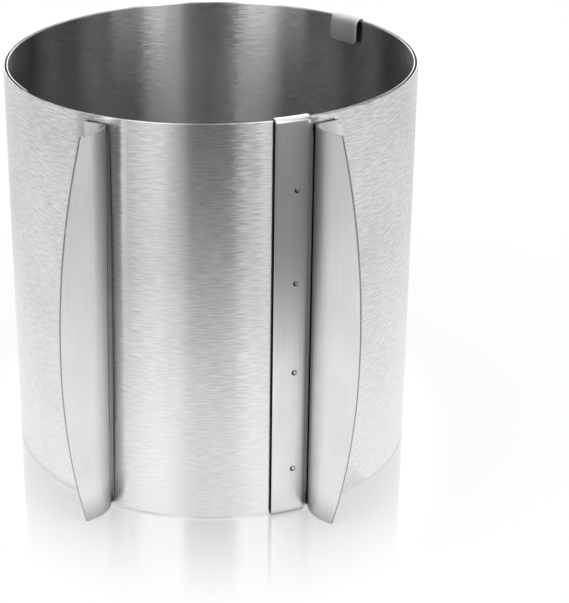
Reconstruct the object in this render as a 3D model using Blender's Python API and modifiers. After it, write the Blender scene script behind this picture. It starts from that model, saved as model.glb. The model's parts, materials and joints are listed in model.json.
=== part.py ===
"""Adjustable cake ring: a tall steel strip coiled about one and three quarter turns.

The strip's outer end is held in a folded guide sleeve, and the rest of the strip slides through that
sleeve. Two curved handles close and open the ring, and hooks over the rims keep the inner lap in place.
The strip bends all along its length, so it is cut into short stiff lengths joined by upright hinges.
Angles are counted from the front (the -Y side) towards +X, and heights from the surface it stands on.
"""
import math

import bmesh
import bpy
from mathutils import Vector

# Strip
RING_DIAMETER = 0.176
STRIP_HEIGHT = 0.1734
STRIP_THICKNESS = 0.0005
TURN_PITCH = 0.0013
OUTER_END_ANGLE = math.radians(18.5)
INNER_END_TURNED = math.radians(641.3)
SLIT = 0.0003
STRIP_COLUMNS = 3
LENGTHS_BEFORE_HOOK = 4
LENGTHS_HOOK_TO_HANDLE = 9

# Guide sleeve
SHEET_THICKNESS = 0.0005
SEAT_GAP = 0.0003
SLEEVE_ANGLE = math.radians(20.65)
SLEEVE_WIDTH = 0.0146
SLEEVE_DEPTH = 0.0029
SLEEVE_LEAF = 0.0040
SLEEVE_COLUMNS = 4
FOLD_RADIUS = 0.0005

# Hooks over the rims
HOOK_ANGLE = math.radians(132.7)
HOOK_WIDTH = 0.0162
HOOK_DEPTH = 0.00285
HOOK_OUTER_LEAF = 0.010
HOOK_INNER_LEAF = 0.012
HOOK_COLUMNS = 4

# Handles
HANDLE_THICKNESS = 0.001
HANDLE_LENGTH = 0.1702
HANDLE_BELOW_RIM = 0.0028
HANDLE_FOOT = 0.0095
HANDLE_END_WIDTH = 0.0177
HANDLE_MIDDLE_WIDTH = 0.0292
HANDLE_BOW_share = 2.1
HANDLE_LEAN_IN = math.radians(25)
HANDLE_FLARE = math.radians(22)
HANDLE_CURL_LENGTH = 0.0135
SLEEVE_TO_HANDLE = 0.0024
LEFT_BEND_ANGLE = math.radians(-28.9)
LEFT_HANDLE_LEAN = 0.0026
FOOT_COLUMNS = 2
REACH_COLUMNS = 8
HANDLE_ROWS = 14

# Rivets
RIVET_RADIUS = 0.0008
RIVET_RISE = 0.0005
RIVET_ASIDE = 0.0019
RIVET_SIDES = 12
RIVET_TIP_share = 0.5
RIVET_CREASE = math.radians(50)
SLEEVE_RIVET_shares = (0.118, 0.375, 0.604, 0.833)
FOOT_RIVET_shares = (0.08, 0.36, 0.64, 0.92)
FOOT_RIVET_ACROSS_share = 0.6

FULL_TURN = 2 * math.pi
OUTER_RADIUS = RING_DIAMETER / 2
FIRST_RADIUS = OUTER_RADIUS - STRIP_THICKNESS / 2
STRIP_BOTTOM = SEAT_GAP + SHEET_THICKNESS
STRIP_TOP = STRIP_BOTTOM + STRIP_HEIGHT
MIDDLE_HEIGHT = STRIP_BOTTOM + STRIP_HEIGHT / 2


def steel(name, colour, roughness):
    material = bpy.data.materials.new(name)
    material.use_nodes = True
    shader = material.node_tree.nodes["Principled BSDF"]
    shader.inputs["Base Color"].default_value = (*colour, 1)
    shader.inputs["Metallic"].default_value = 1
    shader.inputs["Roughness"].default_value = roughness
    return material


def ring_point(angle, radius, height):
    return Vector((radius * math.sin(angle), -radius * math.cos(angle), height))


def strip_radius(turned):
    """Radius of the strip's middle surface after it has turned so far from its outer end."""
    return FIRST_RADIUS - TURN_PITCH * turned / FULL_TURN


def strip_point(turned, height):
    return ring_point(OUTER_END_ANGLE + turned, strip_radius(turned), height)


def place(obj, parent, origin):
    """Give the object its origin, in ring coordinates, under its parent."""
    collection.objects.link(obj)
    obj.parent = parent
    obj.location = origin - origins[parent]
    origins[obj] = origin
    return obj


def sheet(name, columns, rows, point, thickness, material, parent, origin):
    """A sheet of metal: a grid laid along point(column, row), thickened evenly about it."""
    bm = bmesh.new()
    bmesh.ops.create_grid(bm, x_segments=columns, y_segments=rows, size=1)
    for vert in bm.verts:
        column = round((vert.co.x + 1) / 2 * columns)
        row = round((vert.co.y + 1) / 2 * rows)
        vert.co = point(column, row) - origin
    bmesh.ops.recalc_face_normals(bm, faces=bm.faces)
    mesh = bpy.data.meshes.new(name)
    bm.to_mesh(mesh)
    bm.free()
    mesh.materials.append(material)
    obj = place(bpy.data.objects.new(name, mesh), parent, origin)
    solidify = obj.modifiers.new("Thickness", "SOLIDIFY")
    solidify.thickness = thickness
    solidify.offset = 0
    solidify.use_even_offset = True
    return obj


def rivet(name, angle, face_radius, height, material, parent):
    """A low domed head just clear of the face that it holds, its axis square to that face."""
    bm = bmesh.new()
    bmesh.ops.create_cone(
        bm, cap_ends=True, segments=RIVET_SIDES, radius1=RIVET_RADIUS,
        radius2=RIVET_RADIUS * RIVET_TIP_share, depth=RIVET_RISE)
    mesh = bpy.data.meshes.new(name)
    bm.to_mesh(mesh)
    bm.free()
    mesh.materials.append(material)
    mesh.shade_smooth()
    mesh.set_sharp_from_angle(angle=RIVET_CREASE)
    origin = ring_point(angle, face_radius + SEAT_GAP + RIVET_RISE / 2, height)
    obj = place(bpy.data.objects.new(name, mesh), parent, origin)
    obj.rotation_euler = (math.pi / 2, 0, angle)
    return obj


def folded(corners):
    """The profile through the corners, each fold eased by two points a fold radius away."""
    points = [Vector(corners[0])]
    for before, corner, after in zip(corners, corners[1:], corners[2:]):
        here = Vector(corner)
        back = (Vector(before) - here).normalized()
        ahead = (Vector(after) - here).normalized()
        points.append(here + back * FOLD_RADIUS)
        points.append(here + ahead * FOLD_RADIUS)
    points.append(Vector(corners[-1]))
    return points


def turned_sheet(name, profile, middle, width, columns, material, parent):
    """A folded profile of (radius, height) points swept about the ring's axis."""
    half = width / OUTER_RADIUS / 2

    def point(column, row):
        angle = middle - half + 2 * half * column / columns
        return ring_point(angle, profile[row][0], profile[row][1])

    origin = ring_point(middle, profile[0][0], MIDDLE_HEIGHT)
    return sheet(name, columns, len(profile) - 1, point, SHEET_THICKNESS, material, parent, origin)


for old in list(bpy.data.objects):
    bpy.data.objects.remove(old, do_unlink=True)
collection = bpy.data.collections.new("adjustable_cake_ring")
bpy.context.scene.collection.children.link(collection)

brushed = steel("brushed stainless strip", (0.62, 0.62, 0.62), 0.28)
satin = steel("satin stainless sheet", (0.60, 0.60, 0.61), 0.32)
bright = steel("bright stainless rivet", (0.72, 0.72, 0.72), 0.22)

origins = {None: Vector((0, 0, 0))}
base = place(bpy.data.objects.new("ring_axis", None), None, Vector((0, 0, 0)))

# Strip, in stiff lengths
hook_turned = HOOK_ANGLE - OUTER_END_ANGLE
foot_angle = HANDLE_FOOT / OUTER_RADIUS
handle_turned = FULL_TURN + LEFT_BEND_ANGLE - foot_angle / 2 - OUTER_END_ANGLE
length_angle = (handle_turned - hook_turned) / LENGTHS_HOOK_TO_HANDLE
first_angle = hook_turned - (LENGTHS_BEFORE_HOOK + 1 / 2) * length_angle
length_count = 1 + math.ceil((INNER_END_TURNED - first_angle) / length_angle)
starts = [0]
for number in range(1, length_count):
    starts.append(first_angle + length_angle * (number - 1))
starts.append(INNER_END_TURNED)

lengths = []
for number in range(length_count):
    slit_angle = SLIT / 2 / strip_radius(starts[number])
    low = starts[number] + (slit_angle if number else 0)
    high = starts[number + 1] - (slit_angle if number < length_count - 1 else 0)

    def strip_grid(column, row, low=low, high=high):
        turned = low + (high - low) * column / STRIP_COLUMNS
        return strip_point(turned, STRIP_BOTTOM + STRIP_HEIGHT * row)

    lengths.append(sheet(
        f"strip_{number + 1:02d}", STRIP_COLUMNS, 1, strip_grid, STRIP_THICKNESS, brushed,
        lengths[-1] if lengths else base, strip_point(starts[number], MIDDLE_HEIGHT)))

root_length = lengths[0]
hook_length = lengths[LENGTHS_BEFORE_HOOK + 1]
left_length = lengths[LENGTHS_BEFORE_HOOK + LENGTHS_HOOK_TO_HANDLE + 1]

# Guide sleeve, folded over both rims
plate_radius = OUTER_RADIUS + SEAT_GAP + SHEET_THICKNESS / 2
leaf_radius = FIRST_RADIUS - SLEEVE_DEPTH - SHEET_THICKNESS / 2
low_fold = SHEET_THICKNESS / 2
high_fold = STRIP_TOP + SEAT_GAP + SHEET_THICKNESS / 2
sleeve = turned_sheet(
    "guide_sleeve",
    folded([
        (leaf_radius, low_fold + SLEEVE_LEAF), (leaf_radius, low_fold),
        (plate_radius, low_fold), (plate_radius, high_fold),
        (leaf_radius, high_fold), (leaf_radius, high_fold - SLEEVE_LEAF)]),
    SLEEVE_ANGLE, SLEEVE_WIDTH, SLEEVE_COLUMNS, satin, root_length)

# Hooks over the top and bottom rims
hook_radius = strip_radius(hook_turned)
hook_outside = hook_radius + STRIP_THICKNESS / 2 + SEAT_GAP + SHEET_THICKNESS / 2
hook_inside = hook_radius - HOOK_DEPTH - SHEET_THICKNESS / 2
turned_sheet(
    "rim_hook_top",
    folded([
        (hook_outside, high_fold - HOOK_OUTER_LEAF), (hook_outside, high_fold),
        (hook_inside, high_fold), (hook_inside, high_fold - HOOK_INNER_LEAF)]),
    HOOK_ANGLE, HOOK_WIDTH, HOOK_COLUMNS, satin, hook_length)
turned_sheet(
    "rim_hook_bottom",
    folded([
        (hook_inside, low_fold + HOOK_INNER_LEAF), (hook_inside, low_fold),
        (hook_outside, low_fold), (hook_outside, low_fold + HOOK_OUTER_LEAF)]),
    HOOK_ANGLE, HOOK_WIDTH, HOOK_COLUMNS, satin, hook_length)

# Handles
handle_top = STRIP_TOP - HANDLE_BELOW_RIM
handle_low = handle_top - HANDLE_LENGTH
handle_middle = handle_top - HANDLE_LENGTH / 2
curl_radius = HANDLE_CURL_LENGTH / (HANDLE_LEAN_IN + HANDLE_FLARE)
right_bend = SLEEVE_ANGLE + (SLEEVE_WIDTH / 2 + SLEEVE_TO_HANDLE) / OUTER_RADIUS
left_handle_turned = FULL_TURN + LEFT_BEND_ANGLE - OUTER_END_ANGLE


def handle(name, side, bend_angle, seat_turned, lean, parent):
    """A foot lying on the strip, then a curled blade that is widest at half height.

    side is 1 where the foot runs on towards +X from the bend, and -1 where it runs the other way.
    """
    def point(column, row):
        height = handle_low + HANDLE_LENGTH * row / HANDLE_ROWS
        bend = bend_angle + lean * (height - handle_middle) / HANDLE_LENGTH / OUTER_RADIUS
        seat = strip_radius(seat_turned) + STRIP_THICKNESS / 2 + SEAT_GAP + HANDLE_THICKNESS / 2
        if column < FOOT_COLUMNS:
            return ring_point(bend + side * foot_angle * (1 - column / FOOT_COLUMNS), seat, height)
        bow = abs(2 * (height - handle_middle) / HANDLE_LENGTH) ** HANDLE_BOW_share
        width = HANDLE_MIDDLE_WIDTH - (HANDLE_MIDDLE_WIDTH - HANDLE_END_WIDTH) * bow
        run = width * (column - FOOT_COLUMNS) / REACH_COLUMNS
        curled = min(run, HANDLE_CURL_LENGTH)
        slant = curled / curl_radius - HANDLE_LEAN_IN
        out = curl_radius * (math.sin(slant) + math.sin(HANDLE_LEAN_IN))
        out += (run - curled) * math.cos(HANDLE_FLARE)
        aside = curl_radius * (math.cos(HANDLE_LEAN_IN) - math.cos(slant))
        aside += (run - curled) * math.sin(HANDLE_FLARE)
        outward = ring_point(bend, 1, 0)
        along = ring_point(bend + math.pi / 2, 1, 0)
        return ring_point(bend, seat, height) + outward * out + along * (side * aside)

    origin = ring_point(bend_angle, OUTER_RADIUS, MIDDLE_HEIGHT)
    return sheet(
        name, FOOT_COLUMNS + REACH_COLUMNS, HANDLE_ROWS, point, HANDLE_THICKNESS, satin, parent, origin)


right_turned = right_bend - OUTER_END_ANGLE
handle("handle_right", 1, right_bend, right_turned, 0, root_length)
handle("handle_left", -1, LEFT_BEND_ANGLE, left_handle_turned, LEFT_HANDLE_LEAN, left_length)

# Rivets
sleeve_rivet_angle = SLEEVE_ANGLE + RIVET_ASIDE / OUTER_RADIUS
for number, share in enumerate(SLEEVE_RIVET_shares, 1):
    rivet(
        f"sleeve_rivet_{number}", sleeve_rivet_angle, plate_radius + SHEET_THICKNESS / 2,
        STRIP_BOTTOM + STRIP_HEIGHT * share, bright, root_length)
for name, side, bend, turned, lean, parent in (
        ("right", 1, right_bend, right_turned, 0, root_length),
        ("left", -1, LEFT_BEND_ANGLE, left_handle_turned, LEFT_HANDLE_LEAN, left_length)):
    foot_face = strip_radius(turned) + STRIP_THICKNESS / 2 + SEAT_GAP + HANDLE_THICKNESS
    for number, share in enumerate(FOOT_RIVET_shares, 1):
        height = handle_low + HANDLE_LENGTH * share
        leaned = lean * (height - handle_middle) / HANDLE_LENGTH / OUTER_RADIUS
        across = side * foot_angle * FOOT_RIVET_ACROSS_share
        rivet(
            f"{name}_foot_rivet_{number}", bend + leaned + across, foot_face, height, bright, parent)

# The origin is the centre of the base of the whole ring's box
bpy.context.view_layer.update()
depsgraph = bpy.context.evaluated_depsgraph_get()
corners = []
for obj in collection.objects:
    if obj.type == "MESH":
        shaped = obj.evaluated_get(depsgraph)
        corners.extend(shaped.matrix_world @ Vector(corner) for corner in shaped.bound_box)
base.location.x = -(min(c.x for c in corners) + max(c.x for c in corners)) / 2
base.location.y = -(min(c.y for c in corners) + max(c.y for c in corners)) / 2
bpy.context.view_layer.update()
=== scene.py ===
"""Adjustable cake ring: brushed strip, guide sleeve, hooks, handles and rivets, in a white studio."""
import json
import math

import bmesh
import bpy
from mathutils import Euler, Matrix, Vector


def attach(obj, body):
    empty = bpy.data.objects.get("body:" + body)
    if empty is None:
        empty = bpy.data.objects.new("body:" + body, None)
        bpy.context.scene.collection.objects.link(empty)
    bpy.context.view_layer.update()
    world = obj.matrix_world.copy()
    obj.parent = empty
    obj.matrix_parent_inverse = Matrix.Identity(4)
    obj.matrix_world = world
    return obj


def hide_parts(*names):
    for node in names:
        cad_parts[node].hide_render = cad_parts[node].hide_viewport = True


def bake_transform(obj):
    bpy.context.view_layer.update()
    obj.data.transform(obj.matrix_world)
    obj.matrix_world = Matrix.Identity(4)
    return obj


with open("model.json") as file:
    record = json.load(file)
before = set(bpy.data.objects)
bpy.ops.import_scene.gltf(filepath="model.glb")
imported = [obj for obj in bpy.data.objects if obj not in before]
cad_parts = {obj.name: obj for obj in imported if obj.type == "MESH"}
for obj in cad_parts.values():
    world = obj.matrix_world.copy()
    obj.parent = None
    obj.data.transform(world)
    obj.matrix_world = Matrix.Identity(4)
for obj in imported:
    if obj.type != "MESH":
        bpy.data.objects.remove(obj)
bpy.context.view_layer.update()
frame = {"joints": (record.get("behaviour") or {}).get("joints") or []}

# Spring strip
# One strip of half-millimetre stainless steel, rolled and brushed along its length, and coiled about one
# and three quarter turns. It bends all along as the ring is opened, so each stretch of it is drawn over
# one hinge of the model, from the middle of one stiff length to the middle of the next.
RING_AXIS = Vector((-0.00034, 0.00712, 0))
FULL_TURN = 2 * math.pi
QUARTER_TURN = FULL_TURN / 4
STRIP_RADIUS = 0.08775
STRIP_THICKNESS = 0.0005
STRIP_HEIGHT = 0.1734
STRIP_MIDDLE = 0.0875
TURN_PITCH = 0.0013
OUTER_END = math.radians(18.5)
INNER_END_TURNED = math.radians(641.3)
FIRST_LENGTH = math.radians(16.546)
LENGTH = math.radians(21.7008)
STRETCH_STEPS = 12
RIM_EASE = 0.00022
RIM_EASE_STEPS = 3
STRIP_DARK = "#DCDCDC"
STRIP_LIGHT = "#F4F4F3"
STRIP_ROUGHEST = 0.27
STRIP_SMOOTHEST = 0.24
STREAK_LENGTH = 0.0055
STREAK_WIDTH = 0.0006
STREAK_LEAN = 0.010
WAVE_LENGTH = 0.007
WAVE_RISE = 0.0005
CLOUD_WIDTH = 0.030
CLOUD_SHARE = 0.25
FINE_NOISE = (0.4, 0.6)
BROAD_NOISE = (0.3, 0.7)
WORN_SHARE = 0.25
WORN_HEIGHT = 0.02
FRESH_HEIGHT = 0.15
STRIP_SEAM = 0.0009
STRIP_SEAM_SHUT = 0.22
STRIP_SEAM_CLEAR = 0.65
SEAM_DARKEST = 0.03
SEAM_SAMPLES = 16


def ring_angle(point):
    """Angle about the ring's axis, from the front towards +X."""
    return math.atan2(point.x - RING_AXIS.x, RING_AXIS.y - point.y)


def ring_point(angle, radius, height):
    """The point at an angle about the ring's axis, a radius and a height."""
    return RING_AXIS + Vector((radius * math.sin(angle), -radius * math.cos(angle), height))


def strip_radius(turned):
    """Radius of the strip's middle surface, so far round from its outer end."""
    return STRIP_RADIUS - TURN_PITCH * turned / FULL_TURN


def turn_near(angle, near):
    """The same angle, with as many whole turns added as bring it close to another."""
    return angle + FULL_TURN * round((near - angle) / FULL_TURN)


def linear(colour):
    """An sRGB colour in hex as the linear values that a shader takes."""
    values = [int(colour[place:place + 2], 16) / 255 for place in (1, 3, 5)]
    return (*[v / 12.92 if v <= 0.04045 else ((v + 0.055) / 1.055) ** 2.4 for v in values], 1)


def add(tree, kind, settings=None, links=None):
    """Add a node, set its sockets and properties, and link sockets from other nodes' outputs."""
    node = tree.nodes.new(kind)
    for name, value in (settings or {}).items():
        if isinstance(name, int) or name in node.inputs:
            node.inputs[name].default_value = value
        else:
            setattr(node, name, value)
    for name, output in (links or {}).items():
        tree.links.new(output, node.inputs[name])
    return node


def new_material(name):
    """A new material, its node tree and its shader."""
    material = bpy.data.materials.new(name)
    material.use_nodes = True
    return material, material.node_tree, material.node_tree.nodes["Principled BSDF"]


def new_piece(name, bm, material):
    """Close a piece's bmesh into an object of the scene."""
    mesh = bpy.data.meshes.new(name)
    bm.to_mesh(mesh)
    bm.free()
    mesh.materials.append(material)
    mesh.shade_smooth()
    piece = bpy.data.objects.new(name, mesh)
    bpy.context.scene.collection.objects.link(piece)
    return piece


def seam_shade(tree, tone, reach, shut, clear):
    """Darken a colour in creases and narrow gaps: painted shade, where the surface is hidden from the
    light.
    """
    open_share = add(tree, "ShaderNodeAmbientOcclusion", {"Distance": reach, "samples": SEAM_SAMPLES})
    shade = add(tree, "ShaderNodeMapRange",
                {"From Min": shut, "From Max": clear, "To Min": SEAM_DARKEST, "To Max": 1.0},
                {"Value": open_share.outputs["AO"]})
    shaded = add(tree, "ShaderNodeVectorMath", {"operation": "SCALE"},
                 {0: tone, "Scale": shade.outputs[0]})
    return shaded.outputs[0]


def brushed_strip():
    """Stainless steel, brushed along its length: mirror-like round the ring, blurred up and down it."""
    material, tree, shader = new_material("brushed stainless steel strip")
    place = add(tree, "ShaderNodeTexCoord")
    unrolled = place.outputs["UV"]
    waves = add(tree, "ShaderNodeTexNoise", {"Scale": 1 / WAVE_LENGTH, "Detail": 1.0},
                {"Vector": unrolled})
    lift = add(tree, "ShaderNodeVectorMath", {"operation": "MULTIPLY", 1: (0, WAVE_RISE, 0)},
               {0: waves.outputs["Color"]})
    wavy = add(tree, "ShaderNodeVectorMath", {"operation": "ADD"}, {0: unrolled, 1: lift.outputs[0]})
    # Real brushing is finer than a tenth of a millimetre; the streaks are drawn coarse enough to show
    along = add(tree, "ShaderNodeMapping", {"Scale": (1 / STREAK_LENGTH, 1 / STREAK_WIDTH, 1)},
                {"Vector": wavy.outputs[0]})
    streaks = add(tree, "ShaderNodeTexNoise", {"Scale": 1.0, "Detail": 1.0, "Roughness": 0.5},
                  {"Vector": along.outputs[0]})
    clouds = add(tree, "ShaderNodeTexNoise", {"Scale": 1 / CLOUD_WIDTH, "Detail": 1.0},
                 {"Vector": unrolled})
    mixed = add(tree, "ShaderNodeMix", {"data_type": "FLOAT", "Factor": CLOUD_SHARE},
                {"A": streaks.outputs[0], "B": clouds.outputs[0]})
    # Standing on its foot has worn the brushing smoother there
    height = add(tree, "ShaderNodeSeparateXYZ", {}, {0: place.outputs["Object"]})
    fresh = add(tree, "ShaderNodeMapRange",
                {"From Min": WORN_HEIGHT, "From Max": FRESH_HEIGHT, "To Min": WORN_SHARE, "To Max": 1.0},
                {"Value": height.outputs["Z"]})
    worn = add(tree, "ShaderNodeMix", {"data_type": "FLOAT", "A": 0.5},
               {"Factor": fresh.outputs[0], "B": mixed.outputs[0]})
    tone = add(tree, "ShaderNodeValToRGB", {}, {"Fac": worn.outputs[0]})
    tone.color_ramp.elements[0].position = FINE_NOISE[0]
    tone.color_ramp.elements[0].color = linear(STRIP_DARK)
    tone.color_ramp.elements[1].position = FINE_NOISE[1]
    tone.color_ramp.elements[1].color = linear(STRIP_LIGHT)
    blur = add(tree, "ShaderNodeMapRange",
               {"From Min": BROAD_NOISE[0], "From Max": BROAD_NOISE[1], "To Min": STRIP_ROUGHEST,
                "To Max": STRIP_SMOOTHEST}, {"Value": mixed.outputs[0]})
    # Each streak's grooves lean a little to one side, so it reflects a place further left or right
    brushing = add(tree, "ShaderNodeTangent", {"direction_type": "UV_MAP", "uv_map": "unrolled"})
    lean = add(tree, "ShaderNodeMapRange",
               {"From Min": FINE_NOISE[0], "From Max": FINE_NOISE[1], "To Min": -STREAK_LEAN,
                "To Max": STREAK_LEAN}, {"Value": streaks.outputs[0]})
    aside = add(tree, "ShaderNodeVectorMath", {"operation": "SCALE"},
                {0: brushing.outputs[0], "Scale": lean.outputs[0]})
    straight = add(tree, "ShaderNodeNewGeometry").outputs["Normal"]
    leaning = add(tree, "ShaderNodeVectorMath", {"operation": "ADD"}, {0: straight, 1: aside.outputs[0]})
    groove = add(tree, "ShaderNodeVectorMath", {"operation": "NORMALIZE"}, {0: leaning.outputs[0]})
    # Painted shade darkens the wall in narrow gaps and beside the parts that stand on it
    shaded = seam_shade(tree, tone.outputs[0], STRIP_SEAM, STRIP_SEAM_SHUT, STRIP_SEAM_CLEAR)
    shader.inputs["Metallic"].default_value = 1
    # A quarter turn lays the blur across the brushing
    shader.inputs["Anisotropic"].default_value = 1.0
    shader.inputs["Anisotropic Rotation"].default_value = 0.25
    tree.links.new(shaded, shader.inputs["Base Color"])
    tree.links.new(blur.outputs[0], shader.inputs["Roughness"])
    tree.links.new(groove.outputs[0], shader.inputs["Normal"])
    tree.links.new(brushing.outputs[0], shader.inputs["Tangent"])
    return material


def strip_stretch(name, start, end, material):
    """The strip's section with eased edges, spun about the ring's axis and drawn in by the pitch."""
    bm = bmesh.new()
    bmesh.ops.create_grid(bm, x_segments=1, y_segments=1, size=0.5)
    bmesh.ops.scale(bm, vec=(STRIP_THICKNESS, STRIP_HEIGHT, 1), verts=bm.verts)
    bmesh.ops.bevel(bm, geom=bm.verts[:], offset=RIM_EASE, offset_type="OFFSET", segments=RIM_EASE_STEPS,
                    profile=0.5, affect="VERTICES", material=-1)
    stand = Matrix.Rotation(QUARTER_TURN, 4, "X")
    seat = Matrix.Translation((STRIP_RADIUS, 0, STRIP_MIDDLE))
    turn = Matrix.Rotation(OUTER_END + start - QUARTER_TURN, 4, "Z")
    bmesh.ops.transform(bm, matrix=Matrix.Translation(RING_AXIS) @ turn @ seat @ stand, verts=bm.verts)
    bmesh.ops.spin(bm, geom=bm.verts[:] + bm.edges[:] + bm.faces[:], cent=RING_AXIS, axis=(0, 0, 1),
                   angle=end - start, steps=STRETCH_STEPS, use_merge=False)
    bmesh.ops.holes_fill(bm, edges=[edge for edge in bm.edges if edge.is_boundary], sides=0)
    bmesh.ops.recalc_face_normals(bm, faces=bm.faces)
    middle = OUTER_END + (start + end) / 2
    unrolled = bm.loops.layers.uv.new("unrolled")
    for face in bm.faces:
        for corner in face.loops:
            spot = corner.vert.co - RING_AXIS
            depth = math.hypot(spot.x, spot.y) - STRIP_RADIUS
            along = turn_near(ring_angle(corner.vert.co), middle) * STRIP_RADIUS
            corner[unrolled].uv = (along + depth, spot.z + depth)
    for vert in bm.verts:
        turned = turn_near(ring_angle(vert.co), middle) - OUTER_END
        outward = Vector((vert.co.x - RING_AXIS.x, vert.co.y - RING_AXIS.y, 0)).normalized()
        vert.co -= outward * TURN_PITCH * turned / FULL_TURN
    stretch = new_piece(name, bm, material)
    # Each corner shades as its face turned round to it, so that one stretch runs on into the next
    shading = []
    for polygon in stretch.data.polygons:
        there = ring_angle(polygon.center)
        for index in polygon.vertices:
            here = turn_near(ring_angle(stretch.data.vertices[index].co), there)
            shading.append(Matrix.Rotation(here - there, 3, "Z") @ polygon.normal)
    stretch.data.normals_split_custom_set(shading)
    return stretch


strip_steel = brushed_strip()
length_count = 1 + math.ceil((INNER_END_TURNED - FIRST_LENGTH) / LENGTH)
seams = [FIRST_LENGTH + LENGTH * number for number in range(length_count - 1)]
ends = [0, *seams, INNER_END_TURNED]
middles = [(low + high) / 2 for low, high in zip(ends, ends[1:])]
for number, joint in enumerate(frame["joints"], 1):
    low = 0 if number == 1 else middles[number - 1]
    high = INNER_END_TURNED if number == length_count - 1 else middles[number]
    stretch = strip_stretch(f"strip_stretch_{number:02d}", low, high, strip_steel)
    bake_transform(stretch)
    covered = ["strip_01", "strip_02"] if number == 1 else [f"strip_{number + 1:02d}"]
    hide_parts(*covered)

# Guide sleeve
# Half-millimetre stainless sheet with a satin face, folded over both rims of the strip. The strip's outer
# end is fastened in it, and the rest of the strip slides through it.
SHEET_THICKNESS = 0.0005
SHEET_EASE = 0.00012
SHEET_EASE_STEPS = 2
SHARP_ANGLE = math.radians(50)
SHEET_STEPS = 8
PLATE_RADIUS = 0.08855
LEAF_RADIUS = 0.0846
LOW_FOLD = 0.00025
HIGH_FOLD = 0.17475
FOLD_EASE = 0.0014
FOLD_EASE_STEPS = 6
SLEEVE_LEAF = 0.0040
SLEEVE_ANGLE = math.radians(20.65)
SLEEVE_WIDTH = 0.0146
SLEEVE_SEAM = 0.0035
SATIN_SEAM_SHUT = 0.12
SATIN_SEAM_CLEAR = 0.95
GRAIN_WIDTH = 0.0005
GRAIN_LENGTH = 0.030
GRAIN_DEPTH = 0.00003
GRAIN_STRENGTH = 0.2
SMUDGE_WIDTH = 0.022
SMUDGE_SHARE = 0.5
MERGE_DISTANCE = 0.00001


def satin_sheet(name, rough, smooth, reach, dark, light):
    """Stainless sheet with a fine satin grain up and down it, which blurs what it reflects."""
    material, tree, shader = new_material(name)
    place = add(tree, "ShaderNodeTexCoord").outputs["Object"]
    # The real grain is about a twentieth of a millimetre wide; it is drawn ten times coarser to show
    upright = add(tree, "ShaderNodeMapping",
                  {"Scale": (1 / GRAIN_WIDTH, 1 / GRAIN_WIDTH, 1 / GRAIN_LENGTH)}, {"Vector": place})
    grain = add(tree, "ShaderNodeTexNoise", {"Scale": 1.0, "Detail": 2.0, "Roughness": 0.5},
                {"Vector": upright.outputs[0]})
    smudges = add(tree, "ShaderNodeTexNoise", {"Scale": 1 / SMUDGE_WIDTH, "Detail": 2.0},
                  {"Vector": place})
    mixed = add(tree, "ShaderNodeMix", {"data_type": "FLOAT", "Factor": SMUDGE_SHARE},
                {"A": grain.outputs[0], "B": smudges.outputs[0]})
    tone = add(tree, "ShaderNodeValToRGB", {}, {"Fac": mixed.outputs[0]})
    tone.color_ramp.elements[0].position = BROAD_NOISE[0]
    tone.color_ramp.elements[0].color = linear(dark)
    tone.color_ramp.elements[1].position = BROAD_NOISE[1]
    tone.color_ramp.elements[1].color = linear(light)
    blur = add(tree, "ShaderNodeMapRange",
               {"From Min": BROAD_NOISE[0], "From Max": BROAD_NOISE[1], "To Min": rough, "To Max": smooth},
               {"Value": mixed.outputs[0]})
    relief = add(tree, "ShaderNodeBump", {"Strength": GRAIN_STRENGTH, "Distance": GRAIN_DEPTH},
                 {"Height": grain.outputs[0]})
    # Painted shade darkens the sheet in its folds and creases and beside the parts next to it, as far as
    # reach
    shaded = seam_shade(tree, tone.outputs[0], reach, SATIN_SEAM_SHUT, SATIN_SEAM_CLEAR)
    shader.inputs["Metallic"].default_value = 1
    tree.links.new(shaded, shader.inputs["Base Color"])
    tree.links.new(blur.outputs[0], shader.inputs["Roughness"])
    tree.links.new(relief.outputs[0], shader.inputs["Normal"])
    return material


def ease_edges(piece):
    """Take the sharpness off a sheet's cut edges."""
    ease = piece.modifiers.new("Eased edges", "BEVEL")
    ease.width = SHEET_EASE
    ease.segments = SHEET_EASE_STEPS
    ease.limit_method = "ANGLE"
    ease.angle_limit = SHARP_ANGLE


def thicken(piece):
    """Give a sheet its thickness about its middle surface, and ease its cut edges."""
    wall = piece.modifiers.new("Sheet", "SOLIDIFY")
    wall.thickness = SHEET_THICKNESS
    wall.offset = 0
    wall.thickness_clamp = 0
    ease_edges(piece)


def folded_sheet(corners, middle, width, ease):
    """A line of (radius, height) corners, spun a little way about the ring's axis, its folds rounded."""
    bm = bmesh.new()
    half = width / STRIP_RADIUS / 2
    line = [bm.verts.new(ring_point(middle - half, radius, height)) for radius, height in corners]
    for first, second in zip(line, line[1:]):
        bm.edges.new((first, second))
    bmesh.ops.spin(bm, geom=bm.verts[:] + bm.edges[:], cent=RING_AXIS, axis=(0, 0, 1), angle=2 * half,
                   steps=SHEET_STEPS, use_merge=False)
    bmesh.ops.remove_doubles(bm, verts=bm.verts, dist=MERGE_DISTANCE)
    folds = [edge for edge in bm.edges
             if len(edge.link_faces) == 2 and edge.calc_face_angle() > SHARP_ANGLE]
    bmesh.ops.bevel(bm, geom=folds, offset=ease, offset_type="OFFSET", segments=FOLD_EASE_STEPS,
                    profile=0.5, affect="EDGES", material=-1)
    bmesh.ops.recalc_face_normals(bm, faces=bm.faces)
    return bm


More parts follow.
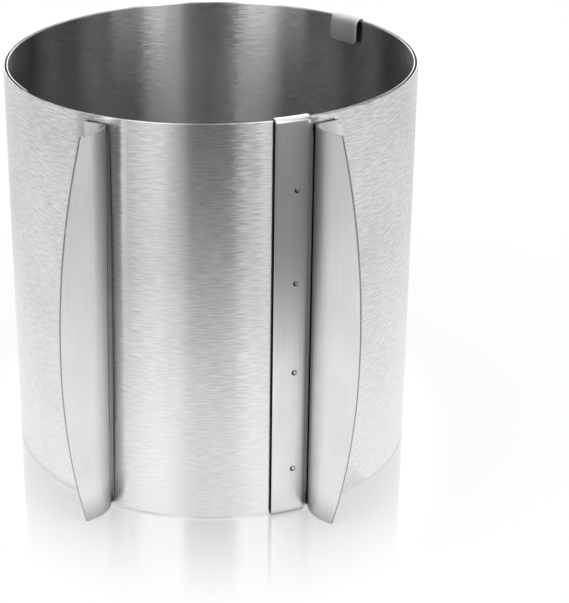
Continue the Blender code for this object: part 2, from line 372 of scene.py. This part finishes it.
sleeve_steel = satin_sheet("satin stainless steel sleeve", rough=0.33, smooth=0.26, reach=SLEEVE_SEAM,
                           dark="#E0E0E1", light="#EEEEEE")
sleeve_line = [(LEAF_RADIUS, LOW_FOLD + SLEEVE_LEAF), (LEAF_RADIUS, LOW_FOLD), (PLATE_RADIUS, LOW_FOLD),
               (PLATE_RADIUS, HIGH_FOLD), (LEAF_RADIUS, HIGH_FOLD), (LEAF_RADIUS, HIGH_FOLD - SLEEVE_LEAF)]
sleeve_bm = folded_sheet(sleeve_line, SLEEVE_ANGLE, SLEEVE_WIDTH, FOLD_EASE)
sleeve = new_piece("guide_sleeve_folded", sleeve_bm, sleeve_steel)
thicken(sleeve)
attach(sleeve, "fixed_end")
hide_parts("guide_sleeve")

# Hooks over the rims
# Short strips of matt stainless sheet, folded over the top and the bottom rim at the back right. They are
# fixed to the outer turn and keep the inner turn against it. Their corners are rounded.
HOOK_ANGLE = math.radians(132.7)
HOOK_WIDTH = 0.0162
HOOK_OUTSIDE = 0.087737
HOOK_INSIDE = 0.083837
HOOK_OUTER_LEAF = 0.010
HOOK_INNER_LEAF = 0.0113
HOOK_CORNER = 0.0028
HOOK_CORNER_STEPS = 5
HOOK_EASE = 0.0006
HOOK_ROUND = 0.0030
HOOK_ROUND_STEPS = 8
HOOK_SEAM = 0.003

hook_steel = satin_sheet("matt stainless steel hook", rough=0.62, smooth=0.54, reach=HOOK_SEAM,
                         dark="#DADADB", light="#E8E8E8")
for name, rim, down in (("rim_hook_top", HIGH_FOLD, -1), ("rim_hook_bottom", LOW_FOLD, 1)):
    hook_line = [(HOOK_OUTSIDE, rim + down * HOOK_OUTER_LEAF), (HOOK_OUTSIDE, rim)]
    for step in range(HOOK_ROUND_STEPS + 1):
        turn = QUARTER_TURN * step / HOOK_ROUND_STEPS
        hook_line.append((HOOK_INSIDE + HOOK_ROUND * (1 - math.sin(turn)),
                          rim + down * HOOK_ROUND * (1 - math.cos(turn))))
    hook_line.append((HOOK_INSIDE, rim + down * HOOK_INNER_LEAF))
    hook_bm = folded_sheet(hook_line, HOOK_ANGLE, HOOK_WIDTH, HOOK_EASE)
    corners = [vert for vert in hook_bm.verts if len(vert.link_edges) == 2]
    bmesh.ops.bevel(hook_bm, geom=corners, offset=HOOK_CORNER, offset_type="OFFSET",
                    segments=HOOK_CORNER_STEPS, profile=0.5, affect="VERTICES", material=-1)
    hook = new_piece(f"{name}_folded", hook_bm, hook_steel)
    thicken(hook)
    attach(hook, "length_06")
    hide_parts(name)

# Handles
# One-millimetre satin sheet, bent along the strip: a narrow foot that is fastened to the strip, then a
# curled blade with a bowed edge, to push the ring together or pull it apart by.
HANDLE_THICKNESS = 0.001
HANDLE_LENGTH = 0.1702
HANDLE_LOW = 0.0012
HANDLE_FOOT = 0.0095
HANDLE_SEAT_RISE = 0.00105
HANDLE_SEAM = 0.0165
END_WIDTH = 0.0177
MIDDLE_WIDTH = 0.0292
EDGE_BOW = 2.1
LEAN_IN = math.radians(25)
FLARE = math.radians(22)
CURL_LENGTH = 0.0135
CURL_RADIUS = CURL_LENGTH / (LEAN_IN + FLARE)
BEND_EASE = 0.0012
BEND_EASE_STEPS = 5
RIGHT_BEND = math.radians(26.966)
LEFT_BEND = math.radians(-28.9)
LEFT_LEAN = 0.0026
FOOT_STEPS = 3
REACH_STEPS = 16
HANDLE_STEPS = 44
BEND_MERGE_DISTANCE = 0.00002
SCORE_SPACING = 0.001
# Each handle's name, side, bend, turn from the strip's outer end, lean and body
HANDLES = (("right", 1, RIGHT_BEND, RIGHT_BEND - OUTER_END, 0, "fixed_end"),
           ("left", -1, LEFT_BEND, FULL_TURN + LEFT_BEND - OUTER_END, LEFT_LEAN, "length_15"))


def sheared_edge():
    """The edge that the shears left: dull, darker than the face, with fine score marks."""
    material, tree, shader = new_material("sheared steel edge")
    place = add(tree, "ShaderNodeTexCoord").outputs["Object"]
    scores = add(tree, "ShaderNodeTexNoise", {"Scale": 1 / SCORE_SPACING, "Detail": 1.0},
                 {"Vector": place})
    tone = add(tree, "ShaderNodeValToRGB", {}, {"Fac": scores.outputs[0]})
    tone.color_ramp.elements[0].color = linear("#8A8A8A")
    tone.color_ramp.elements[1].color = linear("#B0B0B0")
    shader.inputs["Metallic"].default_value = 1
    shader.inputs["Roughness"].default_value = 0.5
    tree.links.new(tone.outputs[0], shader.inputs["Base Color"])
    return material


def blade_reach(run):
    """How far out and how far aside the curled blade has come, so far along it from the bend."""
    curled = min(run, CURL_LENGTH)
    slant = curled / CURL_RADIUS - LEAN_IN
    out = CURL_RADIUS * (math.sin(slant) + math.sin(LEAN_IN)) + (run - curled) * math.cos(FLARE)
    aside = CURL_RADIUS * (math.cos(LEAN_IN) - math.cos(slant)) + (run - curled) * math.sin(FLARE)
    return out, aside


def handle_sheet(side, bend_angle, seat, lean):
    """A grid laid along the foot and out over the blade; side is 1 to the right and -1 to the left."""
    bm = bmesh.new()
    bmesh.ops.create_grid(bm, x_segments=FOOT_STEPS + REACH_STEPS, y_segments=HANDLE_STEPS, size=0.5)
    middle = HANDLE_LOW + HANDLE_LENGTH / 2
    foot_turn = HANDLE_FOOT / STRIP_RADIUS
    bend_line = []
    long_edge = bm.verts.layers.float.new("long_edge")
    for vert in bm.verts:
        column = round((vert.co.x + 0.5) * (FOOT_STEPS + REACH_STEPS))
        share = vert.co.y
        height = middle + HANDLE_LENGTH * share
        bend = bend_angle + lean * share / STRIP_RADIUS
        if column < FOOT_STEPS:
            vert.co = ring_point(bend + side * foot_turn * (1 - column / FOOT_STEPS), seat, height)
            continue
        if column == FOOT_STEPS:
            bend_line.append(vert)
        vert[long_edge] = float(column == FOOT_STEPS + REACH_STEPS)
        width = MIDDLE_WIDTH - (MIDDLE_WIDTH - END_WIDTH) * abs(2 * share) ** EDGE_BOW
        out, aside = blade_reach(width * (column - FOOT_STEPS) / REACH_STEPS)
        outward = ring_point(bend, 1, 0) - RING_AXIS
        along = ring_point(bend + QUARTER_TURN, 1, 0) - RING_AXIS
        vert.co = ring_point(bend, seat, height) + outward * out + along * (side * aside)
    creases = [edge for edge in bm.edges if edge.verts[0] in bend_line and edge.verts[1] in bend_line]
    bmesh.ops.bevel(bm, geom=creases, offset=BEND_EASE, offset_type="OFFSET", segments=BEND_EASE_STEPS,
                    profile=0.5, affect="EDGES", material=-1)
    bmesh.ops.remove_doubles(bm, verts=bm.verts, dist=BEND_MERGE_DISTANCE)
    bmesh.ops.recalc_face_normals(bm, faces=bm.faces)
    bm.normal_update()
    for vert in bm.verts:
        vert.co += vert.normal * HANDLE_THICKNESS / 2
    bmesh.ops.solidify(bm, geom=bm.faces[:], thickness=HANDLE_THICKNESS)
    bm.normal_update()
    # The long edge and both ends are cut faces, which take the blade's second material
    for face in bm.faces:
        at_end = abs(face.normal.z) > 0.9
        if at_end or all(vert[long_edge] > 0.5 for vert in face.verts):
            face.material_index = 1
    return bm


# Painted shade reaches far from each handle's bend, darkening its foot and the root of its blade
handle_steel = satin_sheet("satin stainless steel handle", rough=0.42, smooth=0.34, reach=HANDLE_SEAM,
                           dark="#E6E6E7", light="#F2F2F2")
sheared_steel = sheared_edge()
for name, side, bend, turned, lean, body in HANDLES:
    handle_bm = handle_sheet(side, bend, strip_radius(turned) + HANDLE_SEAT_RISE, lean)
    handle = new_piece(f"handle_{name}_bent", handle_bm, handle_steel)
    handle.data.materials.append(sheared_steel)
    handle.data.set_sharp_from_angle(angle=SHARP_ANGLE)
    ease_edges(handle)
    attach(handle, body)
    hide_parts(f"handle_{name}")

# Rivets
# Small stainless rivets with low domed heads: four down the sleeve, which hold the strip's outer end, and
# four down the foot of each handle.
HEAD_RADIUS = 0.0012
HEAD_RISE = 0.0005
HEAD_SIDES = 24
HEAD_OUTLINE_SHARES = ((0, -0.6), (1, -0.6), (1, -0.5), (0.96, -0.34), (0.87, -0.2), (0.73, -0.09),
                       (0.55, -0.02), (0.35, 0.02), (0.15, 0.04), (0, 0.04))
RIVET_SEAT = 0.0003
MARK_SPACING = 0.0004
LIT_SPOT_SHARE = 0.25
SHADE_START_SHARE = 0.6
SHADE_FULL_SHARE = 0.85
SLEEVE_FACE = PLATE_RADIUS + SHEET_THICKNESS / 2
SLEEVE_RIVET_TURN = 0.0216
SLEEVE_RIVET_ANGLE = SLEEVE_ANGLE + SLEEVE_RIVET_TURN
SLEEVE_RIVET_SHARES = (0.118, 0.375, 0.604, 0.833)
FOOT_RIVET_SHARES = (0.08, 0.36, 0.64, 0.92)
FOOT_RIVET_SHARE = 0.6


def polished_rivet():
    """Stainless rivet head, polished by the tool that closed it, with faint marks round it."""
    material, tree, shader = new_material("polished stainless steel rivet")
    place = add(tree, "ShaderNodeTexCoord").outputs["Object"]
    marks = add(tree, "ShaderNodeTexNoise", {"Scale": 1 / MARK_SPACING, "Detail": 1.0}, {"Vector": place})
    tone = add(tree, "ShaderNodeValToRGB", {}, {"Fac": marks.outputs[0]})
    tone.color_ramp.elements[0].color = linear("#C4C4C4")
    tone.color_ramp.elements[1].color = linear("#E8E8E8")
    blur = add(tree, "ShaderNodeMapRange", {"To Min": 0.14, "To Max": 0.24}, {"Value": marks.outputs[0]})
    # Painted shade: a crescent at the lower left of each head is darkened, as on a dome lit from the upper
    # right
    from_lit_spot = add(tree, "ShaderNodeAttribute", {"attribute_name": "from_lit_spot"})
    lit_share = add(tree, "ShaderNodeMapRange",
                {"From Min": SHADE_START_SHARE, "From Max": SHADE_FULL_SHARE, "To Min": 1.0,
                 "To Max": SEAM_DARKEST}, {"Value": from_lit_spot.outputs["Fac"]})
    crescent_shaded = add(tree, "ShaderNodeVectorMath", {"operation": "SCALE"},
                 {0: tone.outputs[0], "Scale": lit_share.outputs[0]})
    # Painted shade also darkens the head where it meets the face that it holds
    shaded = seam_shade(tree, crescent_shaded.outputs[0], HEAD_RADIUS, shut=0.1, clear=0.7)
    shader.inputs["Metallic"].default_value = 1
    tree.links.new(shaded, shader.inputs["Base Color"])
    tree.links.new(blur.outputs[0], shader.inputs["Roughness"])
    return material


def rivet_head(name, angle, face_radius, height, body, material):
    """A domed head spun from its outline, its axis square to the face that it holds."""
    bm = bmesh.new()
    line = [bm.verts.new((across * HEAD_RADIUS, 0, up * HEAD_RISE))
            for across, up in HEAD_OUTLINE_SHARES]
    for first, second in zip(line, line[1:]):
        bm.edges.new((first, second))
    bmesh.ops.spin(bm, geom=bm.verts[:] + bm.edges[:], cent=(0, 0, 0), axis=(0, 0, 1), angle=FULL_TURN,
                   steps=HEAD_SIDES, use_merge=True)
    bmesh.ops.remove_doubles(bm, verts=bm.verts, dist=MERGE_DISTANCE)
    # Each corner's distance from a spot up and to the right of the head's middle, in head radii, which
    # sets its painted shade
    from_lit_spot = bm.verts.layers.float.new("from_lit_spot")
    for vert in bm.verts:
        vert[from_lit_spot] = math.hypot(vert.co.x / HEAD_RADIUS - LIT_SPOT_SHARE,
                                      vert.co.y / HEAD_RADIUS - LIT_SPOT_SHARE)
    tip = Matrix.Rotation(QUARTER_TURN, 4, "X")
    turn = Matrix.Rotation(angle, 4, "Z")
    seat = Matrix.Translation(ring_point(angle, face_radius + RIVET_SEAT, height))
    bmesh.ops.transform(bm, matrix=seat @ turn @ tip, verts=bm.verts)
    bmesh.ops.recalc_face_normals(bm, faces=bm.faces)
    head = new_piece(f"{name}_head", bm, material)
    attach(head, body)
    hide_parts(name)


rivet_steel = polished_rivet()
for number, share in enumerate(SLEEVE_RIVET_SHARES, 1):
    height = STRIP_MIDDLE + STRIP_HEIGHT * (share - 0.5)
    rivet_head(f"sleeve_rivet_{number}", SLEEVE_RIVET_ANGLE, SLEEVE_FACE, height, "fixed_end", rivet_steel)
for name, side, bend, turned, lean, body in HANDLES:
    foot_face = strip_radius(turned) + HANDLE_SEAT_RISE + HANDLE_THICKNESS / 2
    aside = side * HANDLE_FOOT * FOOT_RIVET_SHARE
    for number, share in enumerate(FOOT_RIVET_SHARES, 1):
        angle = bend + (aside + lean * (share - 0.5)) / STRIP_RADIUS
        height = HANDLE_LOW + HANDLE_LENGTH * share
        rivet_head(f"{name}_foot_rivet_{number}", angle, foot_face, height, body, rivet_steel)

# Floor and sky
# A white floor with a polish that mirrors the foot of the ring and fades out around it, under a plain
# white sky. Neither is part of the object.
FLOOR_SIZE = 8.0
FLOOR_BLUR = 0.06
MIRROR_SHARE = 0.46
MIRROR_START = 0.060
MIRROR_END = 0.165
SIDE_WEAR = 1.4
GLOW_SHARE = 0.7
GLOW_START = 0.060
GLOW_END = 0.078
SKY_LEVEL = 0.95


def distance_out(tree, side_scale=1.0):
    """Distance from the foot of the ring's axis, with the way to the sides scaled."""
    spot = add(tree, "ShaderNodeTexCoord").outputs["Object"]
    centred = add(tree, "ShaderNodeVectorMath", {"operation": "SUBTRACT", 1: RING_AXIS}, {0: spot})
    scaled = add(tree, "ShaderNodeVectorMath", {"operation": "MULTIPLY", 1: (side_scale, 1, 1)},
                 {0: centred.outputs[0]})
    away = add(tree, "ShaderNodeVectorMath", {"operation": "LENGTH"}, {0: scaled.outputs[0]})
    return away.outputs["Value"]


def seen_by(tree, *kinds):
    """One for rays of these kinds, and zero for all others."""
    rays = add(tree, "ShaderNodeLightPath")
    seen = rays.outputs[kinds[0]]
    for kind in kinds[1:]:
        either = add(tree, "ShaderNodeMath", {"operation": "MAXIMUM"}, {0: seen, 1: rays.outputs[kind]})
        seen = either.outputs[0]
    return seen


def gloss_floor():
    """White gloss paint. Its polish fades away from the ring, sooner to the sides than to the front."""
    material, tree, paint = new_material("white gloss floor")
    paint.inputs["Base Color"].default_value = linear("#FAFAFA")
    paint.inputs["Roughness"].default_value = 0.5
    paint.inputs["Specular IOR Level"].default_value = 0.0
    mirror_share = add(tree, "ShaderNodeMapRange",
                       {"interpolation_type": "SMOOTHSTEP", "From Min": MIRROR_START,
                        "From Max": MIRROR_END, "To Min": MIRROR_SHARE, "To Max": 0.0},
                       {"Value": distance_out(tree, SIDE_WEAR)})
    # The camera and the steel see the floor mostly as its own white, with a share of the ring's shadow
    glow_share = add(tree, "ShaderNodeMapRange",
                     {"interpolation_type": "SMOOTHSTEP", "From Min": GLOW_START, "From Max": GLOW_END,
                      "To Min": 0.0, "To Max": GLOW_SHARE}, {"Value": distance_out(tree)})
    glow = add(tree, "ShaderNodeMath", {"operation": "MULTIPLY"},
               {0: glow_share.outputs[0], 1: seen_by(tree, "Is Camera Ray", "Is Glossy Ray")})
    white = add(tree, "ShaderNodeEmission", {"Color": (1, 1, 1, 1), "Strength": 1.0})
    lit = add(tree, "ShaderNodeMixShader", {}, {0: glow.outputs[0], 1: paint.outputs[0],
                                                2: white.outputs[0]})
    mirror = add(tree, "ShaderNodeBsdfAnisotropic", {"Color": (1, 1, 1, 1), "Roughness": FLOOR_BLUR})
    mirrored = add(tree, "ShaderNodeMath", {"operation": "MULTIPLY"},
                   {0: mirror_share.outputs[0], 1: seen_by(tree, "Is Camera Ray")})
    faded = add(tree, "ShaderNodeMixShader", {}, {0: mirrored.outputs[0], 1: lit.outputs[0],
                                                  2: mirror.outputs[0]})
    tree.links.new(faded.outputs[0], tree.nodes["Material Output"].inputs["Surface"])
    return material


floor_bm = bmesh.new()
bmesh.ops.create_grid(floor_bm, x_segments=1, y_segments=1, size=FLOOR_SIZE / 2)
floor = new_piece("studio_floor", floor_bm, gloss_floor())

sky = bpy.data.worlds.new("white sky")
bpy.context.scene.world = sky
sky.use_nodes = True
level = add(sky.node_tree, "ShaderNodeMapRange", {"To Min": SKY_LEVEL, "To Max": 1.0},
            {"Value": seen_by(sky.node_tree, "Is Camera Ray", "Is Glossy Ray", "Is Transmission Ray")})
background = sky.node_tree.nodes["Background"]
background.inputs["Color"].default_value = (1, 1, 1, 1)
sky.node_tree.links.new(level.outputs[0], background.inputs["Strength"])

# Cards and lamps
# Cards that only reflections see stand for the soft boxes and the dark cloths of a real studio, which give
# the steel its upright light and dark bands. Two soft lamps light the ring evenly from the front.
CARD_STEPS = 16
SECOND_LOOK = 0.35
FADE = (0.19, 0.37)
SIDE_FADE = (0.10, 0.42)
WALL_RADIUS = 0.088
WEDGE_NEAR = 0.075
WEDGE_FAR = 1.55
WEDGE_TALL = 0.22
LIFT = 0.0012
HIGH_LIFT = 0.0015
RING_EDGE = (0.0885, LIFT)
NEAR_EDGE = (0.165, LIFT)
HIGH_NEAR_EDGE = (0.165, HIGH_LIFT)
SIDE_EDGE = (1.2, LIFT)
FAR_EDGE = (1.6, LIFT)
HIGH_FAR_EDGE = (1.6, HIGH_LIFT)
LOW_RADIUS = 1.62
CORE_RADIUS = 1.65
BOX_RADIUS = 1.7
BACK_RADIUS = 1.75
BOX_LOW = 0.2
BOX_HIGH = 3.0
CANOPY_EDGE = (1.6, 1.6)
LAMP_PLACE = Vector((1.3, -1.2, 1.5))
LAMP_SIZE = 1.2
LAMP_POWER = 8


def card(name, shade, bm, near=None, fade=FADE):
    """A card that reflections alone see; if near is given, it has that shade before it starts to fade."""
    bm.normal_update()
    for face in bm.faces:
        if face.normal.z < 0:
            face.normal_flip()
    flat = all(face.normal.z > 0.99 for face in bm.faces)
    material, tree, _ = new_material(f"{name} cloth")
    bright = add(tree, "ShaderNodeMapRange",
                 {"interpolation_type": "SMOOTHSTEP", "From Min": fade[0], "From Max": fade[1],
                  "To Min": shade if near is None else near, "To Max": shade},
                 {"Value": distance_out(tree)})
    # A soft box is dimmer in the reflection of a reflection, so that what the floor mirrors doesn't clip
    rays = add(tree, "ShaderNodeLightPath")
    dim = add(tree, "ShaderNodeMapRange", {"From Min": 1.0, "From Max": 2.0, "To Min": 1.0,
                                           "To Max": SECOND_LOOK if shade > 1 else 1.0},
              {"Value": rays.outputs["Glossy Depth"]})
    level = add(tree, "ShaderNodeMath", {"operation": "MULTIPLY"}, {0: bright.outputs[0],
                                                                    1: dim.outputs[0]})
    cloth = add(tree, "ShaderNodeEmission", {"Color": (1, 1, 1, 1)}, {"Strength": level.outputs[0]})
    if flat:
        # The floor sees through a card that lies on it, so it mirrors the ring and not the card
        under = add(tree, "ShaderNodeNewGeometry").outputs["Backfacing"]
        clear = add(tree, "ShaderNodeBsdfTransparent")
        cloth = add(tree, "ShaderNodeMixShader", {}, {0: under, 1: cloth.outputs[0], 2: clear.outputs[0]})
    tree.links.new(cloth.outputs[0], tree.nodes["Material Output"].inputs["Surface"])
    piece = new_piece(name, bm, material)
    piece.visible_camera = False
    piece.visible_diffuse = False
    piece.visible_shadow = False
    piece.visible_transmission = False


def wedge(name, shade, first, second, lift, far=WEDGE_FAR):
    """Cards on the floor and upright, whose sides are the rays that the wall throws back at two angles."""
    sides = []
    for angle in (math.radians(first), math.radians(second)):
        start = ring_point(angle, WALL_RADIUS, lift)
        ray = ring_point(2 * angle, 1, 0) - RING_AXIS
        sides.append((start + ray * WEDGE_NEAR, start + ray * far))
    (near_one, far_one), (near_two, far_two) = sides
    up = Vector((0, 0, WEDGE_TALL))
    bm = bmesh.new()
    bm.faces.new([bm.verts.new(spot) for spot in (near_one, near_two, far_two, far_one)])
    card(f"{name}_floor", shade, bm, near=1.2)
    bm = bmesh.new()
    bm.faces.new([bm.verts.new(spot) for spot in (far_one, far_two, far_two + up, far_one + up)])
    card(f"{name}_wall", shade, bm)


def arc(name, shade, first, second, inner, outer, near=None, fade=FADE):
    """A card made by spinning a line of two (radius, height) points about the ring's axis."""
    bm = bmesh.new()
    start, end = math.radians(first), math.radians(second)
    ends = [bm.verts.new(ring_point(start, *point)) for point in (inner, outer)]
    bm.edges.new(ends)
    bmesh.ops.spin(bm, geom=bm.verts[:] + bm.edges[:], cent=RING_AXIS, axis=(0, 0, 1), angle=end - start,
                   steps=CARD_STEPS, use_merge=False)
    card(name, shade, bm, near, fade)


# In front, a dark middle with grey sides gives the wall its dark bands
wedge("dark_core", 0.03, -6.3, 6.6, 0.004)
wedge("grey_left", 0.2, -11.0, -6.3, 0.003, far=1.56)
wedge("grey_right", 0.16, 6.6, 13.0, 0.003, far=1.56)
arc("dark_core_top", 0.02, -16, 15, (CORE_RADIUS, BOX_LOW), (CORE_RADIUS, BOX_HIGH))
arc("dim_core_left", 0.7, -23, -16, (CORE_RADIUS, BOX_LOW), (CORE_RADIUS, 0.6))
arc("dim_core_right", 0.6, 15, 25, (CORE_RADIUS, BOX_LOW), (CORE_RADIUS, 0.6))
arc("grey_front_left", 0.2, -44, -12, NEAR_EDGE, FAR_EDGE, near=0.95)
arc("grey_front_right", 0.2, 13, 31, NEAR_EDGE, FAR_EDGE, near=0.95)
arc("dark_floor", 0.18, 31, 56, HIGH_NEAR_EDGE, HIGH_FAR_EDGE, near=1.0)
arc("dark_low_right", 0.18, 31, 56, (LOW_RADIUS, HIGH_LIFT), (LOW_RADIUS, 0.25))
arc("grey_floor_left", 0.4, -72, -56, HIGH_NEAR_EDGE, HIGH_FAR_EDGE, near=1.0)

# To the sides the floor stays bright close to the ring
arc("bright_near_left", 0.8, -165, -42, RING_EDGE, NEAR_EDGE, near=1.1, fade=SIDE_FADE)
arc("bright_side_left", 0.8, -165, -72, NEAR_EDGE, SIDE_EDGE, near=1.1, fade=SIDE_FADE)
arc("bright_near_right", 0.8, 50, 165, RING_EDGE, NEAR_EDGE, near=1.1, fade=SIDE_FADE)
arc("bright_side_right", 0.8, 66, 165, NEAR_EDGE, SIDE_EDGE, near=1.1, fade=SIDE_FADE)

# Soft boxes stand to both sides of the dark middle
arc("soft_box_left", 1.4, -60, -45, (BOX_RADIUS, BOX_LOW), (BOX_RADIUS, 0.65))
arc("soft_box_right", 1.4, 43, 60, (BOX_RADIUS, BOX_LOW), (BOX_RADIUS, 0.65))
arc("soft_edge_left", 2.0, -45, -40, (BOX_RADIUS, BOX_LOW), (BOX_RADIUS, BOX_HIGH))
arc("soft_edge_right", 1.4, 38, 43, (BOX_RADIUS, BOX_LOW), (BOX_RADIUS, BOX_HIGH))
arc("soft_upper_left", 3.8, -22, -18, (BOX_RADIUS, 0.6), (BOX_RADIUS, BOX_HIGH))
arc("soft_upper_right", 3.8, 17.5, 23, (BOX_RADIUS, 0.6), (BOX_RADIUS, BOX_HIGH))
arc("soft_top_left", 3.0, -40, -22, (BOX_RADIUS, 0.25), (BOX_RADIUS, BOX_HIGH))
arc("soft_top_right", 2.9, 23, 38, (BOX_RADIUS, 0.25), (BOX_RADIUS, BOX_HIGH))

# High at the sides it is dark and behind the ring it is bright, and the dark card on the floor inside the
# ring is painted shade
arc("dark_upper_left", 0.0, -150, -60, (BACK_RADIUS, BOX_LOW), CANOPY_EDGE)
arc("dark_upper_right", 0.0, 60, 150, (BACK_RADIUS, BOX_LOW), CANOPY_EDGE)
arc("grey_upper_left", 0.1, -60, -45, (BACK_RADIUS, 0.65), CANOPY_EDGE)
arc("grey_upper_right", 0.1, 43, 60, (BACK_RADIUS, 0.65), CANOPY_EDGE)
arc("bright_back", 1.9, 155, 205, (BACK_RADIUS, 0.3), (BACK_RADIUS, 1.6))
# Painted shade on the floor inside the ring, which the ring's wall keeps from the light
arc("dark_inside", 0.0, 0, 360, (0.001, HIGH_LIFT), (0.085, HIGH_LIFT))

for name, side in (("lamp_left", -1), ("lamp_right", 1)):
    lamp = bpy.data.lights.new(name, "AREA")
    lamp.shape = "SQUARE"
    lamp.size = LAMP_SIZE
    lamp.energy = LAMP_POWER
    stand = bpy.data.objects.new(name, lamp)
    stand.location = LAMP_PLACE * Vector((side, 1, 1))
    stand.rotation_euler = (RING_AXIS - stand.location).to_track_quat("-Z", "Y").to_euler()
    stand.visible_glossy = False
    bpy.context.scene.collection.objects.link(stand)

# Camera
# It stands in front of the ring and looks down at it by 24 degrees. Its place, turn and lens were found
# from both rims and from the upright lines of the sleeve and the handles.
VIEW_WIDTH = 569
VIEW_HEIGHT = 603
SENSOR = 36.0
FOCAL_PIXELS = 1872.38
PRINCIPAL_PIXEL = (140.48, 295.35)
CLIP_START = 0.01
CAMERA_PLACE = Vector((-0.010294, -0.757617, 0.408876))
CAMERA_TILT = math.radians(65.7163)
CAMERA_ROLL = math.radians(1.0573)
CAMERA_TURN = math.radians(1.1080)

camera = bpy.data.cameras.new("camera")
camera.sensor_width = SENSOR
camera.lens = FOCAL_PIXELS / VIEW_HEIGHT * SENSOR
camera.shift_x = (VIEW_WIDTH / 2 - PRINCIPAL_PIXEL[0]) / VIEW_HEIGHT
camera.shift_y = (PRINCIPAL_PIXEL[1] - VIEW_HEIGHT / 2) / VIEW_HEIGHT
camera.clip_start = CLIP_START
viewer = bpy.data.objects.new("camera", camera)
facing = Euler((CAMERA_TILT, CAMERA_ROLL, CAMERA_TURN))
viewer.matrix_world = Matrix.LocRotScale(CAMERA_PLACE, facing, None)
bpy.context.scene.collection.objects.link(viewer)
bpy.context.scene.camera = viewer
bpy.context.scene.view_settings.view_transform = "Standard"
